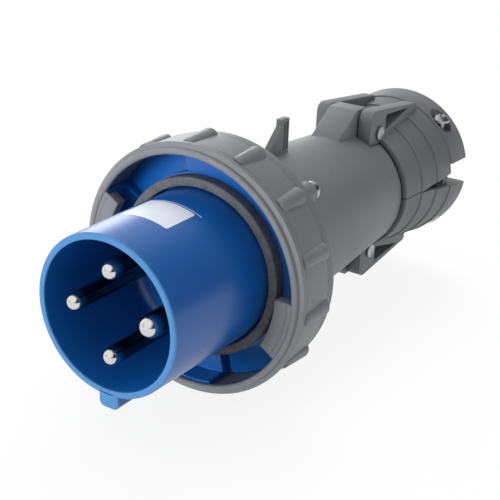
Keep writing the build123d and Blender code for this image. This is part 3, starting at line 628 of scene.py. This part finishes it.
def curvedSheet(sheet):
    # a thin sheet with rounded corners that lies on the sleeve
    bm = bmesh.new()
    halfAcross = radians(sheet["span"] / 2) * sleeve["rimR"]
    halfAlong = sheet["length"] / 2
    columns, rows = sheet["steps"]
    grid = []
    for i in range(columns + 1):
        line = []
        for j in range(rows + 1):
            u = halfAcross * (2 * i / columns - 1)
            v = halfAlong * (2 * j / rows - 1)
            dx = max(0.0, abs(u) - halfAcross + sheet["cornerR"])
            dy = max(0.0, abs(v) - halfAlong + sheet["cornerR"])
            if dx > 0 and dy > 0:  # the square corner is pulled in to a round one
                pull = max(dx, dy) / hypot(dx, dy)
                u -= (dx - dx * pull) * (1 if u > 0 else -1)
                v -= (dy - dy * pull) * (1 if v > 0 else -1)
            y = sheet["frontY"] + halfAlong + v
            radius = sleeve["rimR"] + (sleeve["rootR"] - sleeve["rimR"]) * y / sleeve["cupFloorY"]
            turn = radians(sheet["angle"]) + u / sleeve["rimR"]
            line.append([bm.verts.new((r * cos(turn), y, r * sin(turn)))
                         for r in (radius + sheet["lift"][0], radius + sheet["lift"][1])])
        grid.append(line)
    for i in range(columns):
        for j in range(rows):
            for side in (0, 1):
                bm.faces.new([grid[a][b][side] for a, b in ((i, j), (i + 1, j), (i + 1, j + 1), (i, j + 1))])
    border = [grid[i][0] for i in range(columns + 1)] + [grid[columns][j] for j in range(1, rows + 1)]
    border += [grid[i][rows] for i in range(columns - 1, -1, -1)] + [grid[0][j] for j in range(rows - 1, 0, -1)]
    for first, second in zip(border, border[1:] + border[:1]):
        bm.faces.new((first[0], second[0], second[1], first[1]))
    bmesh.ops.recalc_face_normals(bm, faces=bm.faces)
    return bm


bareLabel = merge("bare_label", [asObject("label face", curvedSheet(label)),
                                 asObject("film edge", curvedSheet(paintedEdgeHighlight))])
dress(bareLabel, labelFilm, "housing", ["label"], label["smoothAngle"])
print("stage: label")


# Rear housing: flange with four screw ears, tapered barrel, lid hook and hinge lugs

rear = {
    "flangeR": 57, "flangeY": (79, 85.5), "mouthR": 34.5,
    "shoulder": ((49, 85.5, 6), (44, 89.5, 14), (40.2, 97, 20)),
    "barrelR": (39.2, 32.6), "barrelY": (100, 201), "ringStep": 10,
    "neckR": 28, "neckBackY": 213, "seatR": 24, "seatY": 196.4, "shelfR": 19.5, "shelfY": 190,
    "cavityBack": (29.5, 186),
    "earCount": 4, "earFirst": 44, "earOrbit": 50.5, "earR": 5.0, "earY": (80, 94.5), "earHoleR": 2.25,
}


def barrelRadius(y):
    front, back = rear["barrelY"]
    return rear["barrelR"][0] + (rear["barrelR"][1] - rear["barrelR"][0]) * (y - front) / (back - front)


barrelRings = [(barrelRadius(y), y) for y in range(rear["barrelY"][0] + 2, rear["barrelY"][1] - 8, rear["ringStep"])]
rearShell = asObject("rear_housing_shell", lathed([
    (rear["mouthR"], rear["flangeY"][0]),
    (rear["flangeR"], rear["flangeY"][0], 0.5),
    (rear["flangeR"], rear["flangeY"][1], 1.2),
    *rear["shoulder"],
    (rear["barrelR"][0], rear["barrelY"][0], 10),
    *barrelRings,
    (rear["barrelR"][1], rear["barrelY"][1], 0.6),
    (rear["neckR"], rear["barrelY"][1]),
    (rear["neckR"], rear["neckBackY"], 0.8),
    (rear["seatR"], rear["neckBackY"], 0.3),
    (rear["seatR"], rear["seatY"]),
    (rear["shelfR"], rear["seatY"]),
    (rear["shelfR"], rear["shelfY"]),
    rear["cavityBack"],
    (rear["mouthR"], rear["shoulder"][2][1]),
]))
hole = asObject("hole", lathed([
    (0, rear["flangeY"][0] - over), (rear["earHoleR"], rear["flangeY"][0] - over),
    (rear["earHoleR"], rear["earY"][1] + over), (0, rear["earY"][1] + over)], segments=32))
cut(rearShell, onCircle("holes", hole, rear["earCount"], rear["earFirst"], rear["earOrbit"], housingPlastic))
ear = asObject("ear", lathed([
    (rear["earHoleR"], rear["earY"][0]),
    (rear["earR"], rear["earY"][0]),
    (rear["earR"], rear["earY"][1], 0.9),
    (rear["earHoleR"], rear["earY"][1]),
], segments=56))
ears = onCircle("ears", ear, rear["earCount"], rear["earFirst"], rear["earOrbit"], housingPlastic)

hinge = {"y": 201.5, "z": 33.2, "pinR": 2.75, "headR": 3.75, "reach": 16.6, "headThickness": 1.0, "knurls": 24,
         "knurlDepth": 0.25, "play": 0.06, "pressFit": 0.02, "headPlay": 0.3, "dimple": 0.2, "dimpleR": 2.3}
hingeLug = {
    "halfWidth": 8.3, "rootZ": 25, "footY": 171.5, "footZ": 33, "topY": 191, "topZ": 46.0, "slope": 6.5,
    "endY": 209.5, "boreX": (-10, 10), "edge": 0.7,
}
arm = {
    "x": (9.1, 16.3), "frontY": 191.4, "tipZ": 23.0, "underZ": 28.6, "topZ": 46.6, "backY": 245.8, "backZ": 40.4,
    "rootZ": 35.2, "corner": 5, "notchGap": 1.2, "notchSide": 0.3, "notchZ": 22.6, "rail": 5, "pocketDepth": 6,
    "pocketY": (208.5, 235.3), "edge": 0.9,
}
for sign in (1, -1):
    for side in (1, -1):
        x0, x1 = ordered(side, arm["x"][0] - arm["notchSide"], arm["x"][1] + arm["notchGap"])
        z0, z1 = ordered(sign, arm["notchZ"], arm["topZ"])
        carve(rearShell, boxBlock((x0, arm["frontY"] - arm["notchGap"], z0), (x1, rear["barrelY"][1] + over, z1)))
hingeLugs = []
for sign in (1, -1):
    lug = asObject("hinge lug", plate([
        (hingeLug["footY"], hingeLug["rootZ"]),
        (hingeLug["footY"], hingeLug["footZ"]),
        (hingeLug["topY"], hingeLug["topZ"], 2.5),
        (hinge["y"], hingeLug["topZ"], 5),
        (hinge["y"] + hingeLug["slope"], hingeLug["topZ"] - hingeLug["slope"], 4),
        (hingeLug["endY"], hinge["z"]),
        (hingeLug["endY"], hingeLug["rootZ"]),
    ], -hingeLug["halfWidth"], hingeLug["halfWidth"]))
    carve(lug, crossRod(hinge["pinR"] + hinge["pressFit"], *hingeLug["boreX"], hinge["y"], hinge["z"]))
    soften(lug, hingeLug["edge"], cutAngle, 3)
    hingeLugs.append(lug if sign > 0 else mirrored(lug, (0, 0, 1)))

fin = {
    "half": 1.7, "webHalf": 0.9, "footY": 116.5, "frontY": 127.3, "backY": 133.8, "topZ": 53.7, "shoulderZ": 50.3,
    "rim": 0.75, "groove": 1.3, "footRise": 1.8, "sink": 2, "edge": 0.25,
}
finFootZ = barrelRadius(fin["footY"]) + fin["footRise"]
finRootZ = barrelRadius(fin["backY"]) - fin["sink"]
finSlope = (fin["shoulderZ"] - finFootZ) / (fin["frontY"] - fin["footY"])
finFloorZ = barrelRadius(fin["frontY"]) + fin["rim"]
finPostY = fin["backY"] - fin["rim"] - fin["groove"]
webBackY = finPostY - fin["rim"]
finPiece = asObject("lid hook fin", plate([
    (fin["footY"], finRootZ),
    (fin["footY"], finFootZ, 0.8),
    (fin["frontY"], fin["shoulderZ"], 1.5),
    (fin["frontY"], fin["topZ"], 0.5),
    (fin["backY"], fin["topZ"], 0.5),
    (fin["backY"], finRootZ),
], -fin["half"], fin["half"]))
for side in (1, -1):
    x0, x1 = ordered(side, fin["webHalf"], fin["half"] + over)
    carve(finPiece, plate([
        (fin["footY"] + (finFloorZ + 2 * fin["rim"] - finFootZ) / finSlope, finFloorZ),
        (webBackY, finFootZ + finSlope * (webBackY - fin["footY"]) - 2 * fin["rim"]),
        (webBackY, finFloorZ),
    ], x0, x1), plate([
        (finPostY, finFloorZ, 0.5),
        (finPostY, fin["topZ"] - 2 * fin["rim"], 0.5),
        (finPostY + fin["groove"], fin["topZ"] - 2 * fin["rim"], 0.5),
        (finPostY + fin["groove"], finFloorZ, 0.5),
    ], x0, x1))
soften(finPiece, fin["edge"], cutAngle)
rearHousing = merge("rear_housing_shell", [rearShell, ears, finPiece] + hingeLugs)
dress(rearHousing, housingPlastic, "housing", ["rear_housing"])
print("stage: rear housing")


# Clamp jaws: a stepped shell split in two, each half with a pair of hinged arms

jaw = {
    "frontY": 203.3, "bands": (16, 15, 14.5, 19.2), "frontR": 34.5, "flare": 1.2, "step": 0.8, "wall": 2.7,
    "backRound": 3, "cavityY": (211.3, 236.3), "saddleY": 243, "saddleR": 17, "tooth": 1.2, "pitch": 4,
    "saddleChamfer": 2, "landGap": 0.5, "wedge": 6.5, "cornerX": 33.2, "cornerZ": 9, "openingZ": 19, "edge": 0.6,
    "outside": 60,
}
clamp = {"x": 27, "y": 256, "seatZ": 24, "headUnderZ": 29.5, "headR": 4.9, "headHeight": 3.6, "shankR": 2.5,
         "tipZ": -27, "recessR": 6.2, "holePlay": 0.4, "swing": (2, 3.2), "nutHalf": 4.3, "nutFront": 1.2,
         "nutPocketZ": 19, "crossTurn": {"right": 22, "left": 61}, "nutEdge": 0.3,
         "tabX": 33, "tabThickness": 3.2, "tabHeight": 5.5, "tabRise": 2, "tabEdge": 0.5}
stepYs = [jaw["frontY"] + sum(jaw["bands"][:count]) for count in (1, 2, 3, 4)]
jawBackY = stepYs[3]


def jawProfile():
    corners = []
    radius = jaw["frontR"]
    for start, end in zip([jaw["frontY"]] + stepYs, stepYs):
        corners.append((radius, start, jaw["edge"]))
        radius += jaw["flare"]
        corners.append((radius, end) if end < jawBackY else (radius, end, jaw["backRound"]))
        radius += jaw["step"]
    corners.append((jaw["saddleR"] + jaw["saddleChamfer"], jawBackY, 0.4))
    y = jawBackY - jaw["saddleChamfer"]
    while y - jaw["pitch"] > jaw["saddleY"]:
        corners += [(jaw["saddleR"], y), (jaw["saddleR"] + jaw["tooth"], y - jaw["pitch"] / 2)]
        y -= jaw["pitch"]
    cavityR = jaw["frontR"] + 2 * (jaw["flare"] + jaw["step"]) - jaw["wall"]
    frontBoreR = jaw["frontR"] - jaw["wall"]
    return corners + [(jaw["saddleR"], y), (jaw["saddleR"], jaw["saddleY"], 0.5), (cavityR, jaw["saddleY"]),
                      (cavityR, jaw["cavityY"][1]), (frontBoreR, jaw["cavityY"][0]), (frontBoreR, jaw["frontY"])]


def wedgeZ(y):
    return jaw["landGap"] / 2 + tan(radians(jaw["wedge"])) * max(0, y - stepYs[0])


def clampArm(side):
    x0, x1 = ordered(side, *arm["x"])
    piece = asObject("arm", plate([
        (arm["frontY"], arm["tipZ"], 1.5),
        (arm["frontY"], arm["topZ"], arm["corner"]),
        (arm["backY"], arm["backZ"], 2),
        (arm["backY"], arm["rootZ"]),
        (stepYs[0], arm["underZ"]),
        (jaw["frontY"], arm["underZ"]),
    ], x0, x1, 6))
    y0, y1 = arm["pocketY"]
    p0, p1 = ordered(side, arm["x"][1] - arm["pocketDepth"], arm["x"][1] + over)
    carve(piece, crossRod(hinge["pinR"] + hinge["play"], x0 - over, x1 + over, hinge["y"], hinge["z"]), plate([
        (y0, arm["topZ"] - arm["rail"], 0.8),
        (y1, arm["backZ"] - 0.6),
        (y0, hinge["z"], 0.8),
    ], p0, p1))
    return soften(piece, arm["edge"], cutAngle, 3)


def jawHalf(name, upper):
    # made as the upper half; the lower one is turned over at the end
    far = jaw["outside"]
    shell = asObject(name, lathed(jawProfile()))
    front, back = jaw["frontY"] - over, jawBackY + over
    carve(shell, plate([(front, wedgeZ(front)), (stepYs[0], wedgeZ(stepYs[0])), (back, wedgeZ(back)), (back, -far),
                        (front, -far)], -far, far))
    carve(shell, boxBlock((-arm["x"][0], front, jaw["openingZ"]),
                          (arm["x"][0], hingeLug["endY"] + arm["notchGap"], far)))
    pieces = [shell]
    for side in (1, -1):
        x, y = side * clamp["x"], clamp["y"]
        shankR = clamp["shankR"] + clamp["holePlay"]
        carve(shell, crossRod(hinge["headR"] + hinge["headPlay"], *ordered(side, arm["x"][1], far), hinge["y"],
                              hinge["z"]))
        if upper:
            c0, c1 = ordered(side, jaw["cornerX"], far)
            carve(shell, boxBlock((c0, stepYs[2], -over), (c1, back, jaw["cornerZ"])),
                  upright(shankR, -over, far, x, y), upright(clamp["recessR"], clamp["seatZ"], far, x, y))
        else:
            forward, backward = clamp["swing"]
            half = clamp["nutHalf"]
            carve(shell, upright(shankR, -over, far, x, y - forward), upright(shankR, -over, far, x, y + backward),
                  boxBlock((x - shankR, y - forward, -over), (x + shankR, y + backward, far)),
                  boxBlock((x - half, y - half - clamp["nutFront"], clamp["nutPocketZ"]),
                           (x + half, y + half + backward, far)))
            tabY = y - clamp["recessR"] - clamp["tabThickness"]
            t0, t1 = ordered(side, clamp["tabX"], clamp["tabX"] + clamp["tabThickness"])
            tab = asObject("tab", boxBlock((t0, tabY, wedgeZ(tabY) - clamp["tabHeight"]),
                                           (t1, tabY + 2 * clamp["tabThickness"], wedgeZ(tabY) + clamp["tabRise"])))
            pieces.append(soften(tab, clamp["tabEdge"]))
        pieces.append(clampArm(side))
    soften(shell, jaw["edge"])
    whole = merge(name, pieces)
    return whole if upper else mirrored(whole, (0, 0, 1))


dress(jawHalf("upper_clamp_jaw", True), jawPlastic, "upper_jaw", ["upper_jaw"])
dress(jawHalf("lower_clamp_jaw", False), jawPlastic, "lower_jaw", ["lower_jaw"])
print("stage: clamp jaws")


# Screws with a cross recess

# shares of the head's radius and height
crossHead = {"crownR": 0.55, "crownRound": 0.3, "rimDepth": 0.55, "rimRound": 0.25, "wingReach": 0.62,
             "wingDepth": 0.6, "wingHalf": 0.13, "edge": 0.12}


def crossScrew(name, headR, headHeight, shankR, shankLength):
    # lies along y with its head's top at y = 0 and its shank towards -y
    screw = asObject(name, lathed([
        (0, 0),
        (headR * crossHead["crownR"], 0, headR * crossHead["crownRound"]),
        (headR, -headHeight * crossHead["rimDepth"], headHeight * crossHead["rimRound"]),
        (headR, -headHeight, 0.15),
        (shankR, -headHeight),
        (shankR, -headHeight - shankLength, 0.4),
        (0, -headHeight - shankLength),
    ], segments=rodSegments))
    reach, half = headR * crossHead["wingReach"], headR * crossHead["wingHalf"]
    for turn in (0, 90):
        carve(screw, boxBlock((-reach, -headHeight * crossHead["wingDepth"], -half), (reach, over, half), turn))
    return soften(screw, crossHead["edge"], cutAngle)


assembly = {"headR": 4.2, "headHeight": 6.5, "shankR": 1.9, "shankLength": 19.5, "headTopY": 101}
earScrew = crossScrew("assembly screw", assembly["headR"], assembly["headHeight"], assembly["shankR"],
                      assembly["shankLength"])
earScrew.data.transform(Matrix.Translation((0, assembly["headTopY"], 0)))
earScrews = onCircle("assembly_screws_crossed", earScrew, rear["earCount"], rear["earFirst"], rear["earOrbit"],
                     zincPlate)
dress(earScrews, zincPlate, "housing", ["assembly_screws"])

for side, sign in (("right", 1), ("left", -1)):
    screw = crossScrew("clamp_screw_crossed_" + side, clamp["headR"], clamp["headHeight"], clamp["shankR"],
                       clamp["headUnderZ"] - clamp["tipZ"])
    headTop = (sign * clamp["x"], clamp["y"], clamp["headUnderZ"] + clamp["headHeight"])
    screw.data.transform(Matrix.Rotation(radians(clamp["crossTurn"][side]), 4, "Y"))
    screw.data.transform(Matrix.Translation(headTop) @ Matrix.Rotation(radians(90), 4, "X"))
    dress(screw, zincPlate, "upper_jaw", ["clamp_screw_" + side])
dress(refined("clamp_nuts", "square_nuts", clamp["nutEdge"]), zincPlate, "upper_jaw", ["clamp_nuts"])


# Hinge pins with knurled ends

def knurl(radius, k):
    return radius - (hinge["knurlDepth"] if radius > hinge["pinR"] + 0.5 and k % 2 else 0)


for side, sign in (("upper", 1), ("lower", -1)):
    reach = hinge["reach"] + hinge["headThickness"]
    pin = asObject(side + "_hinge_pin_knurled", lathed([
        (0, hinge["dimple"] - reach),
        (hinge["dimpleR"], hinge["dimple"] - reach),
        (hinge["dimpleR"] + hinge["dimple"], -reach, 0.1),
        (hinge["headR"], -reach, 0.3),
        (hinge["headR"], -hinge["reach"], 0.2),
        (hinge["pinR"], -hinge["reach"]),
        (hinge["pinR"], hinge["reach"]),
        (hinge["headR"], hinge["reach"], 0.2),
        (hinge["headR"], reach, 0.3),
        (hinge["dimpleR"] + hinge["dimple"], reach, 0.1),
        (hinge["dimpleR"], reach - hinge["dimple"]),
        (0, reach - hinge["dimple"]),
    ], segments=2 * hinge["knurls"], radiusAt=knurl))
    pin.data.transform(Matrix.Translation((0, hinge["y"], sign * hinge["z"])) @ Matrix.Rotation(radians(-90), 4, "Z"))
    dress(pin, zincPlate, "housing", [side + "_hinge_pin"])
print("stage: screws, nuts and hinge pins")


# Cable grommet

grommet = {"boreR": 14, "outerR": 24, "noseR": 19, "y": (198, 213, 225), "rim": 1.5, "rings": (15.6, 17.3),
           "ringDepth": 1.2, "ringWidth": 0.5}
face = []
for radius in reversed(grommet["rings"]):  # cut rings for stepping the bore up to a thicker cable
    face += [(radius + grommet["ringWidth"], grommet["y"][2]),
             (radius, grommet["y"][2] - grommet["ringDepth"]),
             (radius - grommet["ringWidth"], grommet["y"][2])]
dress(asObject("cable_grommet_ringed", lathed([
    (grommet["boreR"], grommet["y"][0]),
    (grommet["outerR"], grommet["y"][0]),
    (grommet["outerR"], grommet["y"][1], 0.5),
    (grommet["outerR"] - grommet["rim"], grommet["y"][1] + grommet["rim"], 0.5),
    (grommet["noseR"], grommet["y"][2], 0.6),
    *face,
    (grommet["boreR"], grommet["y"][2], 0.5),
])), sealRubber, "housing", ["cable_grommet"])


# Inner pieces keep their CAD shape

innerFinishes = {"contact_carrier": blackPlastic, "terminal_divider": blackPlastic, "gland_washer": blackPlastic,
                 "terminal_screws": zincPlate, "carrier_screw": zincPlate, "body_seal": sealRubber}
for node, material in innerFinishes.items():
    frame["nodes"][node].data.materials.clear()
    frame["nodes"][node].data.materials.append(material)
print("stage: grommet and inner pieces")


# Floor, light and camera

paper = {"colour": "#E2E2E2", "rough": 0.9, "lift": 0.86, "half": 3.0}


def studioWhite(name, look):
    # pale matt paper that the camera sees a little lighter than it is lit, with the plug's shadow kept
    material, tree, shader = newMaterial(name)
    feed(tree, shader, {"Base Color": srgb(look["colour"]), "Roughness": look["rough"]})
    path = addNode(tree, "ShaderNodeLightPath").outputs
    seen = reckon(tree, "MAXIMUM", path["Is Camera Ray"], path["Is Glossy Ray"])
    lift = reckon(tree, "MULTIPLY", seen, look["lift"])
    white = addNode(tree, "ShaderNodeEmission", {"Color": (1, 1, 1, 1), "Strength": 1.0})
    mixed = addNode(tree, "ShaderNodeMixShader", {"Fac": lift, 1: shader.outputs[0], 2: white.outputs[0]})
    feed(tree, tree.nodes["Material Output"], {"Surface": mixed.outputs[0]})
    return material


floorMesh = bmesh.new()
bmesh.ops.create_grid(floorMesh, x_segments=1, y_segments=1, size=paper["half"])
floor = asObject("floor", floorMesh)
floor.data.transform(Matrix.Translation((0, 0, cadLow.z)))
floor.data.materials.append(studioWhite("matt white paper", paper))

world = bpy.data.worlds.new("soft room")
bpy.context.scene.world = world
world.use_nodes = True
room = {"litFrom": (0.15, 0.1, 0.98), "litStart": -0.7, "lit": (0.55, 0.95),
        "window": (-0.9, 0.2, 0.39), "windowStart": 0.0, "windowSeen": (0.03, 1.2),
        "front": (-0.05, -0.8, 0.6), "frontStart": 0.6, "frontSeen": (0, 1.1), "fullFrom": 0.85}
sky = world.node_tree
outward = addNode(sky, "ShaderNodeTexCoord").outputs["Generated"]


def skyLevel(brightest, start, levels):
    # the sky is levels[1] strong towards its brightest side and falls off to levels[0]
    facing = addNode(sky, "ShaderNodeVectorMath", {0: outward, 1: brightest}, operation="DOT_PRODUCT").outputs["Value"]
    return between(sky, facing, (start, room["fullFrom"]), *levels)


# what lights the plug, what it mirrors and what the camera sees are three different skies
path = addNode(sky, "ShaderNodeLightPath").outputs
lit = skyLevel(room["litFrom"], room["litStart"], room["lit"])
mirroredSky = reckon(sky, "MAXIMUM", skyLevel(room["window"], room["windowStart"], room["windowSeen"]),
                     skyLevel(room["front"], room["frontStart"], room["frontSeen"]))
unseen = addNode(sky, "ShaderNodeMix", {0: path["Is Glossy Ray"], 2: lit, 3: mirroredSky}).outputs[0]
level = addNode(sky, "ShaderNodeMix", {0: path["Is Camera Ray"], 2: unseen, 3: 1.0}).outputs[0]
feed(sky, sky.nodes["Background"], {"Color": (1, 1, 1, 1), "Strength": level})

lamps = {
    "key from the front left": {"at": (-0.32, -1.1, 0.14), "size": 0.45, "power": 16, "mirrored": False},
    "top from behind": {"at": (-0.3, 0.5, 1.0), "size": 0.6, "power": 6, "mirrored": False},
    "rim from behind left": {"at": (-0.8, 0.75, 0.4), "size": 0.5, "power": 3, "mirrored": True},
}
plugMiddle = (cadLow + cadHigh) / 2
for name, lamp in lamps.items():
    data = bpy.data.lights.new(name, "AREA")
    data.size = lamp["size"]
    data.energy = lamp["power"]
    light = bpy.data.objects.new(name, data)
    light.location = lamp["at"]
    light.visible_glossy = lamp["mirrored"]
    light.rotation_euler = (plugMiddle - Vector(lamp["at"])).to_track_quat("-Z", "Y").to_euler()
    bpy.context.scene.collection.objects.link(light)

photoView = {"azimuth": 32.395, "elevation": 22.724, "roll": 2.301, "distance": 437.93, "aimRight": 56.84,
             "aimUp": 29.29, "lens": 79.2}
azimuth, elevation, roll = (radians(photoView[k]) for k in ("azimuth", "elevation", "roll"))
back = Vector((sin(azimuth) * cos(elevation), -cos(azimuth) * cos(elevation), sin(elevation)))
right = Vector((cos(azimuth), sin(azimuth), 0))
up = back.cross(right)
eye = back * photoView["distance"] + right * photoView["aimRight"] + up * photoView["aimUp"]
rolledRight = right * cos(roll) + up * sin(roll)
rolledUp = up * cos(roll) - right * sin(roll)
camera = bpy.data.objects.new("camera", bpy.data.cameras.new("camera"))
camera.data.lens = photoView["lens"]
camera.data.clip_start = 0.01
camera.matrix_world = (Matrix.Translation(toRow @ eye)
                       @ Matrix((rolledRight, rolledUp, back)).transposed().to_4x4())
bpy.context.scene.collection.objects.link(camera)
bpy.context.scene.camera = camera
bpy.context.scene.view_settings.view_transform = "Standard"
print("stage: floor, light and camera")
